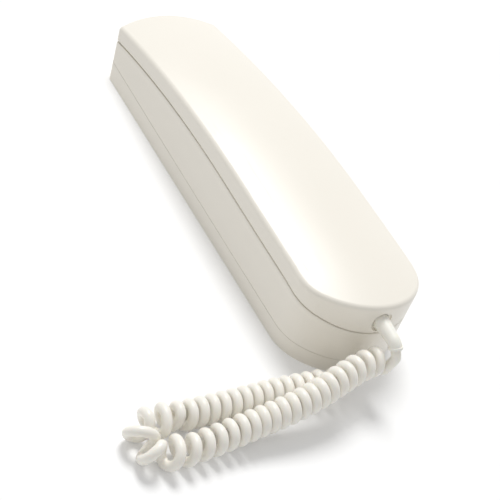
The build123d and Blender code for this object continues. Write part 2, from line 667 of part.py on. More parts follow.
def terminal_screws():
    top = BOARD_TOP + TERMINAL_HEIGHT - TERMINAL_SINK
    screws = []
    for x, y in terminal_places():
        screw = pillar(TERMINAL_SCREW_RADIUS, top - TERMINAL_SCREW_HEIGHT, top, x, y)
        slot = Box(TERMINAL_SCREW_RADIUS * 2, TERMINAL_SLOT, TERMINAL_SCREW_HEIGHT / 2)
        screws.append(screw - Pos(x, y, top) * slot)
    return screws


def buzzer():
    x, y = BUZZER_PLACE[0], BOARD_Y + BUZZER_PLACE[1]
    top = BOARD_TOP + BUZZER_HEIGHT
    body = pillar(BUZZER_RADIUS, BOARD_TOP, top, x, y)
    return body - pillar(BUZZER_HOLE_RADIUS, top - BUZZER_HOLE_DEPTH, top + OVERRUN, x, y)


def board_capacitors():
    cans = []
    for index in range(CAPACITORS):
        y = BOARD_Y + CAPACITOR_PLACE[1] + CAPACITOR_SPACING * index
        cans.append(pillar(CAPACITOR_RADIUS, BOARD_TOP, BOARD_TOP + CAPACITOR_HEIGHT, CAPACITOR_PLACE[0], y))
    return cans


def board_chip():
    x, y = CHIP_PLACE[0], BOARD_Y + CHIP_PLACE[1]
    low = BOARD_TOP + CHIP_STANDOFF
    chip = Pos(x, y, low + CHIP_HEIGHT / 2) * Box(CHIP_WIDTH, CHIP_LENGTH, CHIP_HEIGHT)
    for side in (-1, 1):
        for index in range(CHIP_LEGS_PER_SIDE):
            leg_y = y + CHIP_LEG_SPACING * (index - (CHIP_LEGS_PER_SIDE - 1) / 2)
            leg = Box(CHIP_LEG_REACH * 2, CHIP_LEG_WIDTH, CHIP_STANDOFF + CHIP_HEIGHT / 2)
            chip += Pos(x + side * CHIP_WIDTH / 2, leg_y, BOARD_TOP + (CHIP_STANDOFF + CHIP_HEIGHT / 2) / 2) * leg
    return chip


# Hook: plunger, spring, switch and lever

def hook_levels():
    """Heights of the plunger at rest: top, flange top, flange foot and bore roof."""
    top = seam_height(HOOK_Y) + SEAM_GAP / 2 - HOOK_TOUCH_GAP
    guide_foot = seam_height(HOOK_Y) - SEAM_GAP / 2 - DECK - HOOK_GUIDE_HEIGHT
    flange_top = guide_foot - HOOK_TRAVEL - HOOK_STOP_GAP
    return top, flange_top, flange_top - HOOK_FLANGE_HEIGHT, top - HOOK_ROOF


def hook_plunger():
    top, flange_top, foot, roof = hook_levels()
    body = pillar(HOOK_RADIUS, foot, top, y=HOOK_Y)
    body = fillet(body.edges().sort_by(Axis.Z)[-1:], HOOK_DOME)
    body += pillar(HOOK_FLANGE_RADIUS, foot, flange_top, y=HOOK_Y)
    return body - pillar(HOOK_BORE_RADIUS, foot - OVERRUN, roof, y=HOOK_Y)


def hook_spring():
    """A helix with its ends' wire lying on the post's shoulder and under the bore's roof."""
    roof = hook_levels()[3]
    low = HOOK_POST_HEIGHT + SPRING_SEAT_GAP + SPRING_WIRE / 2
    high = roof - SPRING_SEAT_GAP - SPRING_WIRE / 2
    points = []
    for step in range(SPRING_TURNS * STEPS_PER_TURN + 3):
        share = (step - 1) / (SPRING_TURNS * STEPS_PER_TURN)
        angle = 2 * math.pi * share * SPRING_TURNS
        points.append(Vector(SPRING_RADIUS * math.cos(angle), HOOK_Y + SPRING_RADIUS * math.sin(angle),
                             low + (high - low) * share))
    return tube(arcs_through(points), SPRING_WIRE / 2 * math.sqrt(2), 4)


def switch_start():
    return HOOK_FLANGE_RADIUS + SWITCH_CLEARANCE


def hook_switch():
    start = switch_start()
    top = BOARD_TOP + SWITCH_HEIGHT
    return box_between(start, start + SWITCH_LENGTH, HOOK_Y - SWITCH_WIDTH / 2, HOOK_Y + SWITCH_WIDTH / 2,
                       BOARD_TOP, top)


def lever_pivot():
    x = switch_start() + SWITCH_LENGTH - LEVER_PIVOT_INSET
    return x, BOARD_TOP + SWITCH_HEIGHT + LEVER_BARREL_GAP + LEVER_BARREL_RADIUS


def hook_switch_lever():
    """A thin blade from its barrel on the switch to under the plunger's flange."""
    pivot_x, pivot_z = lever_pivot()
    tip_x = HOOK_POST_RADIUS + LEVER_POST_GAP
    tip_z = hook_levels()[2] - LEVER_TIP_GAP - LEVER_WALL
    length = math.hypot(pivot_x - tip_x, tip_z - pivot_z)
    tilt = math.degrees(math.atan2(tip_z - pivot_z, pivot_x - tip_x))
    blade = Pos(-length / 2, 0, LEVER_WALL / 2) * Box(length, LEVER_WIDTH, LEVER_WALL)
    blade = Rot(0, tilt, 0) * blade
    blade += Rot(90, 0, 0) * Cylinder(LEVER_BARREL_RADIUS, LEVER_WIDTH)
    return Pos(pivot_x, HOOK_Y, pivot_z) * blade


# Door button and its push switch

def push_switch_top():
    return BOARD_TOP + PUSH_SWITCH_HEIGHT


def door_button():
    deck_top = seam_height(DOOR_Y) - SEAM_GAP / 2
    top = deck_top - DOOR_RECESS
    guide_foot = deck_top - DECK - DOOR_GUIDE_HEIGHT
    flange_top = guide_foot - DOOR_STOP_GAP
    foot = flange_top - DOOR_FLANGE_HEIGHT
    stem_foot = push_switch_top() + PUSH_STEM_RISE + PUSH_TOUCH_GAP
    cap = pillar(DOOR_RADIUS, foot, top, y=DOOR_Y)
    cap = fillet(cap.edges().sort_by(Axis.Z)[-1:], SEAM_ROUND)
    cap += pillar(DOOR_RADIUS + DOOR_FLANGE_WIDTH, foot, flange_top, y=DOOR_Y)
    cap -= pillar(DOOR_RADIUS - DOOR_CAP_WALL, foot - OVERRUN, top - DOOR_CAP_WALL, y=DOOR_Y)
    return cap + pillar(DOOR_STEM_RADIUS, stem_foot, top - DOOR_CAP_WALL / 2, y=DOOR_Y)


def door_switch():
    body = Pos(0, DOOR_Y, BOARD_TOP + PUSH_SWITCH_HEIGHT / 2) * Box(
        PUSH_SWITCH_WIDTH, PUSH_SWITCH_WIDTH, PUSH_SWITCH_HEIGHT)
    low = push_switch_top() - PUSH_STEM_SINK - DOOR_TRAVEL - PUSH_STEM_FIT
    return body - pillar(PUSH_STEM_RADIUS + PUSH_STEM_FIT, low, push_switch_top() + OVERRUN, y=DOOR_Y)


def door_switch_stem():
    top = push_switch_top()
    return pillar(PUSH_STEM_RADIUS, top - PUSH_STEM_SINK, top + PUSH_STEM_RISE, y=DOOR_Y)


# Cord

def route(points):
    """Straight runs joined by tangent arcs, each as large as its two runs allow."""
    points = [Vector(*point) for point in points]
    radii = []
    for before, here, after in zip(points, points[1:], points[2:]):
        run = min((here - before).length, (after - here).length)
        turn = math.radians((here - before).get_angle(after - here))
        radii.append(ROUTE_ARC_SHARE * run / math.tan(turn / 2))
    return FilletPolyline(*points, radius=radii).wire(), radii


def arcs_through(points):
    """Two tangent arcs for each half turn of a fine line of points, past its first and before its last."""
    half_turn = STEPS_PER_TURN // 2
    knots = [(points[index], (points[index + 1] - points[index - 1]).normalized())
             for index in range(1, len(points) - 1, half_turn)]
    edges = []
    for (start, start_way), (end, end_way) in zip(knots, knots[1:]):
        span = end - start
        ways = start_way + end_way
        bend = 2 * (1 - start_way.dot(end_way))
        along = span.dot(ways)
        reach = (math.sqrt(along ** 2 + bend * span.dot(span)) - along) / bend
        first, last = start + start_way * reach, end - end_way * reach
        joint = (first + last) / 2
        edges.append(Edge.make_tangent_arc(start, start_way, joint))
        edges.append(Edge.make_tangent_arc(joint, last - first, end))
    return edges


def tube(edges, radius, sides=None):
    """A round or many-sided tube swept along a line of edges."""
    path = Wire(edges)
    plane = Plane(origin=path @ 0, z_dir=path % 0)
    section = RegularPolygon(radius, sides) if sides else Circle(radius)
    swept = sweep(plane * section, path=path, clean=False)
    print(f"  tube: volume {swept.volume:.1f}, section x length {section.area * path.length:.1f}")
    return swept


def share_between(table, place):
    """The value that a table of shares gives at one place, in a straight line between its rows."""
    for (start, low), (end, high) in zip(table, table[1:]):
        if place <= end:
            return low + (high - low) * (place - start) / (end - start)
    return table[-1][1]


def curl_points():
    """The wire's centre line: a left-handed helix on the coil's axis, unwinding at its last end."""
    axis, radii = route(COIL_AXIS)
    print("coil axis: length", round(axis.length, 1), "radii", [round(radius, 1) for radius in radii])
    points = []
    place = 0.0
    turns = 0.0
    while place < axis.length:
        left = min(1, (axis.length - place) / UNWIND_LENGTH)
        way = axis.tangent_at(place, position_mode=PositionMode.LENGTH)
        side = Vector(0, 0, 1).cross(way).normalized()
        up = way.cross(side)
        angle = 2 * math.pi * (1 / STEPS_PER_TURN - turns)
        radius = CURL_RADIUS * math.sin(math.pi / 2 * left)
        centre = axis.position_at(place, position_mode=PositionMode.LENGTH)
        points.append(centre + side * (radius * math.cos(angle)) + up * (radius * math.sin(angle)))
        pitch = CLOSE_PITCH * share_between(PITCH_SHARES, place / axis.length) + UNWIND_STRETCH * (1 - left)
        place += pitch * min(1, (turns + 1 / STEPS_PER_TURN) / START_TURN_SHARE) / STEPS_PER_TURN
        turns += 1 / STEPS_PER_TURN
    half_turn = STEPS_PER_TURN // 2
    kept = (len(points) - 3) // half_turn * half_turn + 3
    return points[:kept]


def least_gap(points, wire):
    """The least gap of the coil to itself, between points more than half a turn apart."""
    skip = STEPS_PER_TURN * 5 // 8
    least = min((points[late] - points[early]).length
                for early in range(len(points) - skip)
                for late in range(early + skip, len(points)))
    return least - wire


def cord():
    """The coil and the two plain leads at its ends."""
    points = curl_points()
    edges = arcs_through(points)
    start_way = edges[0] % 0
    end_way = edges[-1] % 1
    start = points[1] - start_way * CORD_WIRE
    end = points[-2] + end_way * CORD_WIRE
    whole = [Edge.make_line(start, points[1])] + edges + [Edge.make_line(points[-2], end)]
    print("curls:", round((len(points) - 3) / STEPS_PER_TURN, 1), "least gap", round(least_gap(points, CORD_WIRE), 2),
          "lowest", round(min(point.Z for point in points) - CORD_WIRE / 2, 2))
    coil = tube(whole, CORD_WIRE / 2, CORD_SIDES)
    handset_lead, handset_radii = route([HANDSET_EXIT, start - start_way * HANDSET_LEAD_RUN, start])
    base_lead, base_radii = route([end, end + end_way * BASE_LEAD_RUN, BASE_LEAD_BEND, BASE_EXIT])
    print("lead radii", [round(radius, 1) for radius in handset_radii + base_radii])
    return coil, tube(handset_lead.edges(), CORD_WIRE / 2), tube(base_lead.edges(), CORD_WIRE / 2), handset_lead % 0


def handset_strain_relief(exit_way):
    """A tapered boot that bends down at its end, with a flange inside the wall and a ring at its tip."""
    inside = flange_seat(RELIEF_HEIGHT, RELIEF_FLANGE_RADIUS, WALL)
    tip = Vector(*HANDSET_EXIT)
    bend = tip - exit_way * ((tip.Z - RELIEF_HEIGHT) / exit_way.Z)
    path = FilletPolyline((0, inside, RELIEF_HEIGHT), bend, tip, radius=RELIEF_BEND_RADIUS).wire()
    straight, *bent = path.edges().sort_by(Axis.Y, reverse=True)
    root = Plane(origin=straight @ 0, z_dir=straight % 0) * Circle(RELIEF_ROOT_RADIUS)
    knee = Plane(origin=straight @ 1, z_dir=straight % 1) * Circle(RELIEF_TIP_RADIUS)
    boot = loft([root, knee]) + sweep(knee, path=Wire(bent))
    boot += barrel(RELIEF_FLANGE_RADIUS, inside, inside + RELIEF_FLANGE_WIDTH, RELIEF_HEIGHT)
    ring = Plane(origin=tip - exit_way * RELIEF_RING_WIDTH, z_dir=exit_way) * Circle(RELIEF_RING_RADIUS)
    return boot + extrude(ring, RELIEF_RING_WIDTH, dir=exit_way)


def base_strain_relief():
    inside = flange_seat(BASE_EXIT[2], BASE_RELIEF_FLANGE_RADIUS, WALL + LIP_FIT + LIP_WALL)
    body = barrel(BASE_RELIEF_RADIUS, BASE_EXIT[1], inside, BASE_EXIT[2])
    return body + barrel(BASE_RELIEF_FLANGE_RADIUS, inside, inside + BASE_RELIEF_FLANGE_WIDTH, BASE_EXIT[2])


def save(name, shape):
    """Writes one node, which is one solid or a list of like solids."""
    solids = shape if isinstance(shape, list) else [shape]
    pieces = [solid for item in solids for solid in item.solids()]
    export_step(Compound(children=pieces) if len(pieces) > 1 else pieces[0], f"parts/{name}.step")
    print(name, len(pieces), "solid(s)")


def main():
    os.makedirs("parts", exist_ok=True)
    for build in (handset_front_shell, handset_inner_shell, earpiece_capsule, earpiece_gasket, microphone_capsule,
                  microphone_boot, handset_screws, wall_plate, base_housing, housing_screws, circuit_board,
                  board_screws, terminal_block, terminal_screws, buzzer, board_capacitors, board_chip,
                  hook_plunger, hook_spring, hook_switch, hook_switch_lever, door_button, door_switch,
                  door_switch_stem, base_strain_relief):
        save(build.__name__, build())
    coil, handset_lead, base_lead, exit_way = cord()
    save("curly_cord", coil)
    save("handset_cord_lead", handset_lead)
    save("base_cord_lead", base_lead)
    save("handset_strain_relief", handset_strain_relief(exit_way))


main()
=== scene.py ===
"""Dresses the audio intercom handset: its camera, its light, its finishes and its curly cord.

Metres, +Z up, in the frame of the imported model. The part lies on its wall plate with the ear end
toward +Y, and its cord runs out to -X along the cord end and back again.
"""
from __future__ import annotations

import logging
import math
from bisect import bisect_left
from dataclasses import dataclass
from enum import Enum
from typing import Any, Sequence, Union

import bpy
from mathutils import Matrix, Vector

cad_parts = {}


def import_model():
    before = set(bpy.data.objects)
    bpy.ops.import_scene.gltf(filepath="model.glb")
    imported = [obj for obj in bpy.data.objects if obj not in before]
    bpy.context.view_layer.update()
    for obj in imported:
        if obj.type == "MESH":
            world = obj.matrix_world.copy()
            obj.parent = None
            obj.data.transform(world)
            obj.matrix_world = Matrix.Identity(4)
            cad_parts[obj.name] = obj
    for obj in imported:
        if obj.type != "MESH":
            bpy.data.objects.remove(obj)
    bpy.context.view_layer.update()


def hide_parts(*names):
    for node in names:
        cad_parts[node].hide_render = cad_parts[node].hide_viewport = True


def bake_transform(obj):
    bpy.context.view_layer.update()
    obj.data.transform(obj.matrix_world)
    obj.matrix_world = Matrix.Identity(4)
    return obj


LOG = logging.getLogger("intercom")
Number = Union[float, "Signal"]
Triple = tuple[float, float, float]
Band = tuple[float, float]
WHITE: Triple = (1.0, 1.0, 1.0)
BLACK: Triple = (0.0, 0.0, 0.0)
NOISE_MIDDLE = 0.5
# The Mix node's colour sockets share their names with its other kinds, so they go by number.
MIX_SHARE, MIX_FIRST, MIX_SECOND, MIX_COLOUR = 0, 6, 7, 2


class Signal:
    """A shader socket that takes part in Python sums, so that shader maths reads as an expression."""

    def __init__(self, nodes: "Nodes", socket: bpy.types.NodeSocket) -> None:
        """Wraps one output socket.

        Args:
            nodes: the tree that the socket belongs to.
            socket: the output socket to read.
        """
        self.nodes = nodes
        self.socket = socket

    def _math(self, operation: str, first: Number, second: Number) -> "Signal":
        """Adds one Math node.

        Args:
            operation: the node's operation.
            first: its first value or link.
            second: its second value or link.

        Returns:
            The node's output.
        """
        return self.nodes.signal("ShaderNodeMath", {"operation": operation}, {0: first, 1: second})

    def __add__(self, other: Number) -> "Signal":
        """Adds a number or another signal."""
        return self._math("ADD", self, other)

    __radd__ = __add__

    def __sub__(self, other: Number) -> "Signal":
        """Takes a number or another signal away."""
        return self._math("SUBTRACT", self, other)

    def __rsub__(self, other: Number) -> "Signal":
        """Takes this signal away from a number."""
        return self._math("SUBTRACT", other, self)

    def __mul__(self, other: Number) -> "Signal":
        """Multiplies by a number or another signal."""
        return self._math("MULTIPLY", self, other)

    __rmul__ = __mul__


class Nodes:
    """A tree of shader nodes, of a material or of the world."""

    def __init__(self, tree: bpy.types.NodeTree) -> None:
        """Takes a tree and empties it.

        Args:
            tree: the node tree to fill.
        """
        self.tree = tree
        self.tree.nodes.clear()

    def node(self, kind: str, settings: dict[str, Any], inputs: dict[Any, Any]) -> bpy.types.Node:
        """Adds any node, with its settings first and then the values or links of its sockets.

        Args:
            kind: the node's type.
            settings: its own settings.
            inputs: a value or a signal for each named or numbered socket.

        Returns:
            The node.
        """
        made = self.tree.nodes.new(kind)
        for key, value in settings.items():
            setattr(made, key, value)
        for key, value in inputs.items():
            self.feed(made.inputs[key], value)
        return made

    def signal(self, kind: str, settings: dict[str, Any], inputs: dict[Any, Any],
               output: Any = 0) -> Signal:
        """Adds any node and reads one of its outputs.

        Args:
            kind: the node's type.
            settings: its own settings.
            inputs: a value or a signal for each named or numbered socket.
            output: the name or number of the socket that is read.

        Returns:
            The chosen output.
        """
        return Signal(self, self.node(kind, settings, inputs).outputs[output])

    def feed(self, socket: bpy.types.NodeSocket, value: Any) -> None:
        """Links a signal to a socket or sets the socket's value.

        Args:
            socket: the input socket.
            value: a signal, a number, a colour or a vector.
        """
        if isinstance(value, Signal):
            self.tree.links.new(value.socket, socket)
        elif socket.type == "RGBA":
            socket.default_value = (*value, 1.0)
        else:
            socket.default_value = value

    def backdrop(self) -> Signal:
        """Picks out the rays that show the background: the camera's, gloss's and glass's.

        Returns:
            At least 1 for these rays and 0 for the rest.
        """
        camera, glossy, glass = (
            self.signal("ShaderNodeLightPath", {}, {}, ray)
            for ray in ("Is Camera Ray", "Is Glossy Ray", "Is Transmission Ray"))
        return camera + glossy + glass

    def blend(self, share: Number, first: Any, second: Any) -> Signal:
        """Mixes two colours.

        Args:
            share: how much of the second.
            first: the first colour.
            second: the second colour.

        Returns:
            The mixed colour.
        """
        return self.signal("ShaderNodeMix", {"data_type": "RGBA"},
                           {MIX_SHARE: share, MIX_FIRST: first, MIX_SECOND: second}, MIX_COLOUR)


class Shader(Nodes):
    """One node material around a Principled surface."""

    def __init__(self, name: str) -> None:
        """Makes the material and its Principled surface.

        Args:
            name: the finish's plain name.
        """
        self.material = bpy.data.materials.new(name)
        self.material.use_nodes = True
        super().__init__(self.material.node_tree)
        self.surface = self.node("ShaderNodeBsdfPrincipled", {}, {})
        shade = Signal(self, self.surface.outputs["BSDF"])
        self.node("ShaderNodeOutputMaterial", {}, {"Surface": shade})

    def set(self, **sockets: Any) -> None:
        """Sets the Principled surface's sockets, named with underscores for spaces."""
        for name, value in sockets.items():
            self.feed(self.surface.inputs[name.replace("_", " ")], value)

    def place(self) -> Signal:
        """The point on the object, in metres."""
        return self.signal("ShaderNodeTexCoord", {}, {}, "Object")

    def noise(self, scale: float, layers: float) -> Signal:
        """Soft noise about its middle, laid on the object in metres.

        Args:
            scale: how many cells fit in a metre.
            layers: how many finer layers it has.

        Returns:
            The noise's value.
        """
        return self.signal("ShaderNodeTexNoise", {},
                           {"Vector": self.place(), "Scale": scale, "Detail": layers})

    def stretched(self, scale: float, along: Triple, layers: float) -> Signal:
        """Noise drawn out along one way, as scuffs and drawn streaks are.

        Args:
            scale: how many cells fit in a metre across the streaks.
            along: the share of that scale on each axis.
            layers: how many finer layers it has.

        Returns:
            The noise's value.
        """
        drawn = self.signal("ShaderNodeMapping", {}, {"Vector": self.place(), "Scale": along})
        return self.signal("ShaderNodeTexNoise", {}, {"Vector": drawn, "Scale": scale, "Detail": layers})

    def cells(self, scale: float) -> Signal:
        """The distance to the middle of the nearest cell, for the pips of an eroded mould.

        Args:
            scale: how many cells fit in a metre.

        Returns:
            The distance, as a share of a cell.
        """
        return self.signal("ShaderNodeTexVoronoi", {}, {"Vector": self.place(), "Scale": scale},
                           "Distance")

    def spread(self, share: Signal, band: Band) -> Signal:
        """Spreads the part of a signal between two values over 0 to 1.

        Args:
            share: the signal.
            band: the value that becomes 0 and the one that becomes 1.

        Returns:
            The spread signal, held within 0 and 1.
        """
        return self.signal("ShaderNodeMapRange", {"clamp": True},
                           {"Value": share, "From Min": band[0], "From Max": band[1]}, "Result")

    def bump(self, height: Signal, distance: float) -> Signal:
        """Turns a height into a normal.

        Args:
            height: the height's signal.
            distance: the height of a signal of 1, in metres.

        Returns:
            The normal.
        """
        return self.signal("ShaderNodeBump", {}, {"Height": height, "Distance": distance}, "Normal")


@dataclass(frozen=True)
class MouldedFinish:
    """Moulded plastic or rubber: mottled, with a mould's pips, handling gloss, scuffs and specks."""

    name: str
    colour: Triple
    shade: Triple
    roughness: float
    grain_per_metre: float = 2600.0
    grain_layers: float = 2.0
    grain_height: float = 0.000012
    grain_roughness: float = 0.08
    mottle_per_metre: float = 34.0
    mottle_layers: float = 3.0
    mottle_share: float = 0.25
    pips_per_metre: float = 1700.0
    pip_height: float = 0.7
    scuffs_per_metre: float = 900.0
    scuffs_along: Triple = (1.0, 0.05, 1.0)
    scuff_layers: float = 3.0
    scuff_band: Band = (0.56, 0.72)
    scuff_roughness: float = 0.10
    scuff_depth: float = 0.3
    specks_per_metre: float = 310.0
    speck_layers: float = 1.0
    speck_band: Band = (0.74, 0.80)
    speck_share: float = 0.35
    handled_per_metre: float = 17.0
    handled_layers: float = 1.0
    handled_band: Band = (0.40, 0.65)
    handled_gloss: float = 0.06
    coat: float = 0.0
    skin_depth: float = 0.0
    skin_share: float = 0.12
    skin_radii: Triple = (1.0, 0.8, 0.6)

    def build(self) -> bpy.types.Material:
        """Makes the material.

        Returns:
            The node material.
        """
        shader = Shader(self.name)
        mottle = shader.noise(self.mottle_per_metre, self.mottle_layers) * self.mottle_share
        mottled = shader.blend(mottle, self.colour, self.shade)
        specks = shader.noise(self.specks_per_metre, self.speck_layers)
        specks = shader.spread(specks, self.speck_band) * self.speck_share
        grain = shader.noise(self.grain_per_metre, self.grain_layers)
        pips = shader.cells(self.pips_per_metre)
        scuffs = shader.stretched(self.scuffs_per_metre, self.scuffs_along, self.scuff_layers)
        scuffs = shader.spread(scuffs, self.scuff_band)
        handled = shader.noise(self.handled_per_metre, self.handled_layers)
        handled = shader.spread(handled, self.handled_band)
        shader.set(
            Base_Color=shader.blend(specks, mottled, self.shade),
            Roughness=self.roughness + (grain - NOISE_MIDDLE) * self.grain_roughness
            + scuffs * self.scuff_roughness - handled * self.handled_gloss,
            Normal=shader.bump(grain + pips * self.pip_height - scuffs * self.scuff_depth,
                               self.grain_height),
            Coat_Weight=self.coat,
        )
        if self.skin_depth:
            shader.set(Subsurface_Weight=self.skin_share, Subsurface_Radius=self.skin_radii,
                       Subsurface_Scale=self.skin_depth)
        return shader.material


@dataclass(frozen=True)
class MetalFinish:
    """Bare metal: plated, drawn or satin, with fine streaks and a dulled bloom."""

    name: str
    colour: Triple
    roughness: float
    streaks_per_metre: float = 2400.0
    streaks_along: Triple = (1.0, 1.0, 0.12)
    streak_layers: float = 4.0
    streak_share: float = 0.4
    streak_roughness: float = 0.2
    streak_height: float = 0.000006
    bloom_per_metre: float = 260.0
    bloom_layers: float = 3.0
    bloom_band: Band = (0.42, 0.70)
    bloom_share: float = 0.4
    bloom_roughness: float = 0.12
    dulled: float = 0.78

    def build(self) -> bpy.types.Material:
        """Makes the material.

        Returns:
            The node material.
        """
        shader = Shader(self.name)
        streaks = shader.stretched(self.streaks_per_metre, self.streaks_along, self.streak_layers)
        bloom = shader.noise(self.bloom_per_metre, self.bloom_layers)
        bloom = shader.spread(bloom, self.bloom_band)
        dull = tuple(channel * self.dulled for channel in self.colour)
        shader.set(
            Base_Color=shader.blend(streaks * self.streak_share + bloom * self.bloom_share,
                                    self.colour, dull),
            Metallic=1.0,
            Roughness=self.roughness + (streaks - NOISE_MIDDLE) * self.streak_roughness
            + bloom * self.bloom_roughness,
            Normal=shader.bump(streaks, self.streak_height),
        )
        return shader.material


class Slot(Enum):
    """The record's material slots, each with its finish."""

    IVORY_PLASTIC = MouldedFinish("ivory_plastic", (0.925, 0.885, 0.80), (0.88, 0.835, 0.74), 0.36)
    CORD_JACKET = MouldedFinish("cord_jacket", (0.97, 0.94, 0.865), (0.92, 0.87, 0.80), 0.34,
                                grain_per_metre=900.0, grain_height=0.00002, skin_depth=0.0015)
    BOOT_RUBBER = MouldedFinish("boot_rubber", (0.96, 0.945, 0.87), (0.91, 0.88, 0.80), 0.46,
                                skin_depth=0.001)
    DARK_RUBBER = MouldedFinish("dark_rubber", (0.035, 0.035, 0.035), (0.05, 0.05, 0.05), 0.72)
    BLACK_PLASTIC = MouldedFinish("black_plastic", (0.03, 0.03, 0.032), (0.05, 0.05, 0.05), 0.45)
    TERMINAL_PLASTIC = MouldedFinish("terminal_plastic", (0.06, 0.28, 0.12), (0.05, 0.22, 0.10), 0.42)
    BOARD_LAMINATE = MouldedFinish("board_laminate", (0.03, 0.16, 0.06), (0.025, 0.12, 0.05), 0.30,
                                   grain_per_metre=1400.0, coat=0.4)
    SCREW_STEEL = MetalFinish("screw_steel", (0.62, 0.62, 0.60), 0.34)
    SPRING_STEEL = MetalFinish("spring_steel", (0.55, 0.55, 0.56), 0.28)
    CAPSULE_METAL = MetalFinish("capsule_metal", (0.70, 0.70, 0.70), 0.35)
    CAN_METAL = MouldedFinish("can_metal", (0.05, 0.06, 0.12), (0.06, 0.07, 0.14), 0.3, coat=0.3)


class Finishes:
    """The finishes of the record's slots, each made once."""

    def __init__(self) -> None:
        """Makes every slot's material."""
        self.made = {slot: slot.value.build() for slot in Slot}

    def dress(self, node: str, slot: Slot) -> None:
        """Gives one carried-over node its finish.

        Args:
            node: the node's name.
            slot: the slot that it takes its finish from.
        """
        piece = bpy.data.objects[node]
        piece.data.materials.clear()
        piece.data.materials.append(self.made[slot])
        LOG.info("%s has %s", node, slot.value.name)


def show(name: str, data: bpy.types.ID) -> bpy.types.Object:
    """Puts a mesh, a lamp or a camera in the scene.

    Args:
        name: the object's name.
        data: what it shows.

    Returns:
        The object.
    """
    holder = bpy.data.objects.new(name, data)
    bpy.context.collection.objects.link(holder)
    return holder


@dataclass
class PhotoCamera:
    """The photograph's camera, fitted to the body's edges."""

    right: Vector = Vector((0.8109, -0.4561, 0.3666))
    up: Vector = Vector((0.0754, 0.7027, 0.7074))
    back: Vector = Vector((-0.5802, -0.5460, 0.6043))
    place: Vector = Vector((-0.4911, -0.4683, 0.5115))
    lens: float = 126.07
    sensor_width: float = 36.0
    nearest: float = 0.01
    axis_pixel: tuple[float, float] = (250.67, 210.15)
    frame_pixels: float = 500.0

    def build(self) -> None:
        """Makes the camera and puts it in the scene."""
        camera = bpy.data.cameras.new("photo_camera")
        camera.lens = self.lens
        camera.sensor_width = self.sensor_width
        camera.clip_start = self.nearest
        camera.shift_x = 0.5 - self.axis_pixel[0] / self.frame_pixels
        camera.shift_y = self.axis_pixel[1] / self.frame_pixels - 0.5
        holder = show("photo_camera", camera)
        turn = Matrix((self.right, self.up, self.back)).transposed().to_4x4()
        holder.matrix_world = Matrix.Translation(self.place) @ turn
        bpy.context.scene.camera = holder


@dataclass
class Studio:
    """A plain white floor, a white surround and one wide soft lamp above and behind the part."""

    floor_size: float = 6.0
    floor_grey: float = 0.93
    floor_roughness: float = 0.9
    floor_lift: float = 0.11
    surround: float = 0.48
    key_from: Vector = Vector((0.17, 0.525, 0.83))
    key_spread: float = math.radians(24.0)
    key_strength: float = 1.93

    def build(self) -> None:
        """Makes the floor, the world and the lamp."""
        self._floor()
        self._world()
        self._key()

    def _floor(self) -> None:
        """Makes the floor, lifted toward white for the rays that show the background."""
        half = self.floor_size / 2
        corners = [(-half, -half, 0.0), (half, -half, 0.0), (half, half, 0.0), (-half, half, 0.0)]
        mesh = bpy.data.meshes.new("floor")
        mesh.from_pydata(corners, [], [tuple(range(len(corners)))])
        shader = Shader("floor_paper")
        shader.set(
            Base_Color=(self.floor_grey,) * 3,
            Roughness=self.floor_roughness,
            Specular_IOR_Level=0.0,
            Emission_Color=shader.blend(shader.backdrop(), BLACK, WHITE),
            Emission_Strength=self.floor_lift,
        )
        mesh.materials.append(shader.material)
        show("floor", mesh)

    def _world(self) -> None:
        """Makes an even surround, white for the rays that show the background."""
        world = bpy.data.worlds.new("surround")
        world.use_nodes = True
        nodes = Nodes(world.node_tree)
        light, white = (
            nodes.signal("ShaderNodeBackground", {}, {"Color": WHITE, "Strength": strength})
            for strength in (self.surround, 1.0))
        mixed = nodes.signal("ShaderNodeMixShader", {}, {0: nodes.backdrop(), 1: light, 2: white})
        nodes.node("ShaderNodeOutputWorld", {}, {"Surface": mixed})
        bpy.context.scene.world = world

    def _key(self) -> None:
        """Adds the wide soft lamp, which lights the whole floor evenly."""
        lamp = bpy.data.lights.new("key_lamp", "SUN")
        lamp.energy = self.key_strength
        lamp.angle = self.key_spread
        holder = show("key_lamp", lamp)
        holder.location = self.key_from
        holder.rotation_euler = self.key_from.to_track_quat("Z", "Y").to_euler()


def spline_line(points: Sequence[Sequence[float]], fineness: int) -> list[Vector]:
    """The smooth line of a route, read from its spline.

    Args:
        points: the route's control points.
        fineness: how many points of the line go to each control point.

    Returns:
        Points along the smooth line.
    """
    curve = bpy.data.curves.new("route", "CURVE")
    curve.dimensions = "3D"
    curve.resolution_u = fineness
    spline = curve.splines.new("NURBS")
    spline.points.add(len(points) - 1)
    for point, place in zip(spline.points, points):
        point.co = (*place, 1.0)
    spline.order_u = 3
    spline.use_endpoint_u = True
    holder = bpy.data.objects.new("route", curve)
    mesh = bpy.data.meshes.new_from_object(holder)
    line = [vertex.co.copy() for vertex in mesh.vertices]
    bpy.data.objects.remove(holder)
    bpy.data.curves.remove(curve)
    bpy.data.meshes.remove(mesh)
    return line


class Route:
    """The smooth line that the curls go round, read at any distance along it."""

    def __init__(self, line: Sequence[Vector]) -> None:
        """Measures the line.

        Args:
            line: its points, in order.
        """
        self.line = line
        self.distances = [0.0]
        for start, end in zip(line, line[1:]):
            self.distances.append(self.distances[-1] + (end - start).length)
        self.length = self.distances[-1]

    def at(self, place: float) -> tuple[Vector, Vector]:
        """The point at a distance along the line, and the way that the line goes there.

        Args:
            place: the distance from the start, in metres.

        Returns:
            The point and the way.
        """
        index = bisect_left(self.distances, place, 1) - 1
        low, high = self.distances[index:index + 2]
        centre = self.line[index].lerp(self.line[index + 1], (place - low) / (high - low))
        ahead = self.line[min(index + 2, len(self.line) - 1)]
        return centre, (ahead - self.line[max(index - 1, 0)]).normalized()


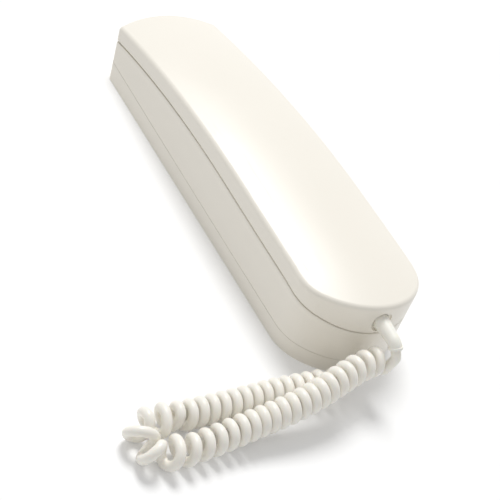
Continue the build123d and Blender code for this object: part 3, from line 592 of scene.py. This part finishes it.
@dataclass
class CurlyCord:
    """The cord: a lead out of the boot, left-handed curls along a route, and a lead into the base.

    The tables of shares go by the place along the route, from 0 to 1. They say how open the curls
    are, and where round the loop's end they fan out.
    """

    wire: float = 0.0046
    curl_radius: float = 0.0045
    close_pitch: float = 0.00535
    steps_per_turn: int = 24
    spare_points: int = 3
    sides: int = 16
    axis_length: float = 0.2622
    axis_fineness: int = 32
    wire_fineness: int = 8
    ring_bend: float = 0.15
    ring_gap_share: float = 0.5
    end_gap_share: float = 0.125
    start_turn_share: float = 0.25
    unwind_length: float = 0.018
    unwind_stretch: float = 0.018
    handset_exit: Vector = Vector((0.0, -0.1216, 0.0291))
    handset_lead_run: float = 0.0028
    stretch_start: Triple = (-0.00048, -0.12334, 0.02365)
    stretch_end: Triple = (0.00011, -0.12356, 0.02507)
    base_lead_run: float = 0.003
    base_lead_bend: Vector = Vector((0.0, -0.1143, 0.0085))
    base_exit: Vector = Vector((0.0, -0.1105, 0.0085))
    pitch_shares: tuple[Band, ...] = (
        (0.00, 1.30), (0.06, 1.40), (0.11, 1.08), (0.16, 1.00), (0.30, 1.00), (0.35, 1.20),
        (0.39, 1.30), (0.43, 1.40), (0.455, 1.60), (0.575, 1.60), (0.605, 1.40), (0.64, 1.10),
        (0.82, 1.11), (1.00, 1.20),
    )
    fan_shares: tuple[Band, ...] = (
        (0.00, 0.0), (0.42, 0.0), (0.455, 1.0), (0.60, 1.0), (0.635, 0.0), (1.00, 0.0),
    )
    fan_swell: float = 0.0002
    fan_shift: float = 0.0011
    fan_swing: float = 0.0018
    swing_phase: float = 0.5
    axis: tuple[Triple, ...] = (
        (-0.0006, -0.1190, 0.0187), (-0.0065, -0.1193, 0.0191), (-0.0170, -0.1221, 0.0198),
        (-0.0294, -0.1265, 0.0196), (-0.0404, -0.1296, 0.0170), (-0.0520, -0.1320, 0.0144),
        (-0.0638, -0.1332, 0.0116), (-0.0764, -0.1345, 0.0092), (-0.0890, -0.1362, 0.0076),
        (-0.1015, -0.1384, 0.0072), (-0.1105, -0.1389, 0.0072), (-0.1220, -0.1388, 0.0072),
        (-0.1265, -0.1343, 0.0072), (-0.1265, -0.1281, 0.0072), (-0.1220, -0.1236, 0.0072),
        (-0.1105, -0.1230, 0.0072), (-0.0970, -0.1221, 0.0072), (-0.0820, -0.1212, 0.0072),
        (-0.0650, -0.1196, 0.0069), (-0.0520, -0.1186, 0.0069), (-0.0410, -0.1183, 0.0069),
        (-0.0300, -0.1181, 0.0069), (-0.0200, -0.1181, 0.0069), (-0.0095, -0.1188, 0.0071),
    )

    @staticmethod
    def _share_at(shares: Sequence[Band], place: float) -> float:
        """Reads a table of shares at a place along the route.

        Args:
            shares: each place, from 0 to 1, with its share.
            place: the place to read.

        Returns:
            The share there.
        """
        for (start, low), (end, high) in zip(shares, shares[1:]):
            if place <= end:
                return low + (high - low) * (place - start) / (end - start)
        return shares[-1][1]

    def _curl_point(self, centre: Vector, way: Vector, turned: float, left: float,
                    fan: float) -> Vector:
        """One point of the wire, round the route's line.

        Where the curls fan out they swell and shift outward, and the inner sides of every other
        curl swing out and in, so that they pass beside each other.

        Args:
            centre: the point on the route's line.
            way: the way that the line goes there.
            turned: the turns made up to there.
            left: 1, falling to 0 where the last curls unwind.
            fan: how far the curls fan out, from 0 to 1.

        Returns:
            The point.
        """
        side = Vector((0, 0, 1)).cross(way).normalized()
        rise = way.cross(side)
        angle = 2 * math.pi * (1 / self.steps_per_turn - turned)
        radius = (self.curl_radius + self.fan_swell * fan) * math.sin(math.pi / 2 * left)
        inner = (1 - math.cos(angle)) / 2
        swing = self.fan_shift + (
            self.fan_swing * inner ** 2 * math.cos(math.pi * (turned - self.swing_phase)))
        outward = radius * math.cos(angle) + swing * fan
        return centre + side * outward + rise * (radius * math.sin(angle))

    def _curls(self) -> list[Vector]:
        """The wire's points round the route's line, whole turns and a half of them.

        The first point is left off, and so is what comes after the last half turn.

        Returns:
            The helix's points.
        """
        route = Route(spline_line(self.axis, self.axis_fineness))
        stretch = route.length / self.axis_length
        points: list[Vector] = []
        place = 0.0
        turned = 0.0
        while place < route.length:
            share = place / route.length
            left = min(1.0, (route.length - place) / self.unwind_length)
            fan = self._share_at(self.fan_shares, share)
            points.append(self._curl_point(*route.at(place), turned, left, fan))
            pitch = self.close_pitch * self._share_at(self.pitch_shares, share)
            pitch += self.unwind_stretch * (1 - left)
            begun = min(1.0, (turned + 1 / self.steps_per_turn) / self.start_turn_share)
            place += stretch * pitch * begun / self.steps_per_turn
            turned += 1 / self.steps_per_turn
        half_turn = self.steps_per_turn // 2
        turns = (len(points) - self.spare_points - half_turn) // self.steps_per_turn
        steps = turns * self.steps_per_turn + half_turn
        LOG.info("curls: %.1f on a route of %.4f m", steps / self.steps_per_turn, route.length)
        return points[1:steps + 2]

    def _thinned(self, line: Sequence[Vector]) -> list[Vector]:
        """The line with only the points that its bends need.

        Args:
            line: a fine line.

        Returns:
            The kept points.
        """
        kept = [line[0]]
        bent = 0.0
        for before, here, after in zip(line, line[1:], line[2:]):
            bent += (here - before).angle(after - here, 0.0)
            gap = (here - kept[-1]).length
            if bent > self.ring_bend or gap > self.wire * self.ring_gap_share:
                kept.append(here)
                bent = 0.0
        if (line[-1] - kept[-1]).length < self.wire * self.end_gap_share:
            kept.pop()
        return kept + [line[-1]]

    def _path(self) -> list[Vector]:
        """The wire's whole line from the boot to the base.

        Returns:
            Points along the line.
        """
        helix = self._curls()
        start_way = (helix[1] - helix[0]).normalized()
        end_way = (helix[-1] - helix[-2]).normalized()
        start = helix[0] - start_way * self.wire
        end = helix[-1] + end_way * self.wire
        lead_in = [self.handset_exit, start - start_way * self.handset_lead_run, start]
        lead_out = [end, end + end_way * self.base_lead_run, self.base_lead_bend, self.base_exit]
        return self._thinned(spline_line(lead_in + helix + lead_out, self.wire_fineness))

    def _tube(self, path: Sequence[Vector]) -> bpy.types.Mesh:
        """The wire's round tube along its line, closed at both ends.

        Args:
            path: the points of its line.

        Returns:
            The mesh.
        """
        vertices: list[Vector] = []
        side = Vector((1, 0, 0))
        for index, point in enumerate(path):
            way = (path[min(index + 1, len(path) - 1)] - path[max(index - 1, 0)]).normalized()
            side = (side - way * side.dot(way)).normalized()
            rise = way.cross(side)
            for step in range(self.sides):
                angle = 2 * math.pi * step / self.sides
                spoke = side * math.cos(angle) + rise * math.sin(angle)
                vertices.append(point + spoke * (self.wire / 2))
        last = len(vertices) - self.sides
        faces: list[tuple[int, ...]] = []
        for low in range(0, last, self.sides):
            high = low + self.sides
            for step in range(self.sides):
                after = (step + 1) % self.sides
                faces.append((low + step, low + after, high + after, high + step))
        faces.append(tuple(reversed(range(self.sides))))
        faces.append(tuple(range(last, last + self.sides)))
        mesh = bpy.data.meshes.new("cord_jacket")
        mesh.from_pydata(vertices, [], faces)
        mesh.shade_smooth()
        return mesh

    def build(self, finishes: Finishes) -> None:
        """Args:
            finishes: the made finishes.
        """
        path = self._path()
        length = sum((end - start).length for start, end in zip(path, path[1:]))
        cord = show("cord_jacket", self._tube(path))
        cord.data.materials.append(finishes.made[Slot.CORD_JACKET])
        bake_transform(cord)
        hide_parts("handset_cord_lead", "curly_cord", "base_cord_lead")
        LOG.info("cord: %.3f m in %d points", length, len(path))


@dataclass
class SubAssembly:
    """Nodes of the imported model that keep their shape, each with the slot of its finish."""

    nodes: tuple[tuple[str, Slot], ...]

    def build(self, finishes: Finishes) -> None:
        """Gives every node its finish.

        Args:
            finishes: the made finishes.
        """
        for node, slot in self.nodes:
            finishes.dress(node, slot)


@dataclass
class Handset(SubAssembly):
    """The lifted part: both shells, the two capsules and the cord's boot."""

    nodes: tuple[tuple[str, Slot], ...] = (
        ("handset_front_shell", Slot.IVORY_PLASTIC), ("handset_inner_shell", Slot.IVORY_PLASTIC),
        ("handset_screws", Slot.SCREW_STEEL), ("earpiece_gasket", Slot.DARK_RUBBER),
        ("earpiece_capsule", Slot.BLACK_PLASTIC), ("microphone_boot", Slot.DARK_RUBBER),
        ("microphone_capsule", Slot.CAPSULE_METAL), ("handset_strain_relief", Slot.BOOT_RUBBER),
    )


@dataclass
class WallBase(SubAssembly):
    """The base: its plate and housing, and the circuit board with what it carries."""

    nodes: tuple[tuple[str, Slot], ...] = (
        ("wall_plate", Slot.IVORY_PLASTIC), ("base_housing", Slot.IVORY_PLASTIC),
        ("housing_screws", Slot.SCREW_STEEL), ("base_strain_relief", Slot.BOOT_RUBBER),
        ("circuit_board", Slot.BOARD_LAMINATE), ("board_screws", Slot.SCREW_STEEL),
        ("terminal_block", Slot.TERMINAL_PLASTIC), ("terminal_screws", Slot.SCREW_STEEL),
        ("buzzer", Slot.BLACK_PLASTIC), ("board_capacitors", Slot.CAN_METAL),
        ("board_chip", Slot.BLACK_PLASTIC),
    )


@dataclass
class SwitchWorks(SubAssembly):
    """The hook switch with its plunger, and the door button with its switch."""

    nodes: tuple[tuple[str, Slot], ...] = (
        ("hook_switch", Slot.BLACK_PLASTIC), ("hook_switch_lever", Slot.SPRING_STEEL),
        ("hook_plunger", Slot.IVORY_PLASTIC), ("hook_spring", Slot.SPRING_STEEL),
        ("door_button", Slot.IVORY_PLASTIC), ("door_switch", Slot.BLACK_PLASTIC),
        ("door_switch_stem", Slot.BLACK_PLASTIC),
    )


def main() -> None:
    """Loads the frame, builds the scene and reports each piece."""
    logging.basicConfig(level=logging.INFO, format="%(message)s")
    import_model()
    bpy.context.scene.view_settings.view_transform = "Standard"
    PhotoCamera().build()
    Studio().build()
    finishes = Finishes()
    for assembly in (Handset(), WallBase(), SwitchWorks(), CurlyCord()):
        assembly.build(finishes)


if __name__ == "__main__":
    main()
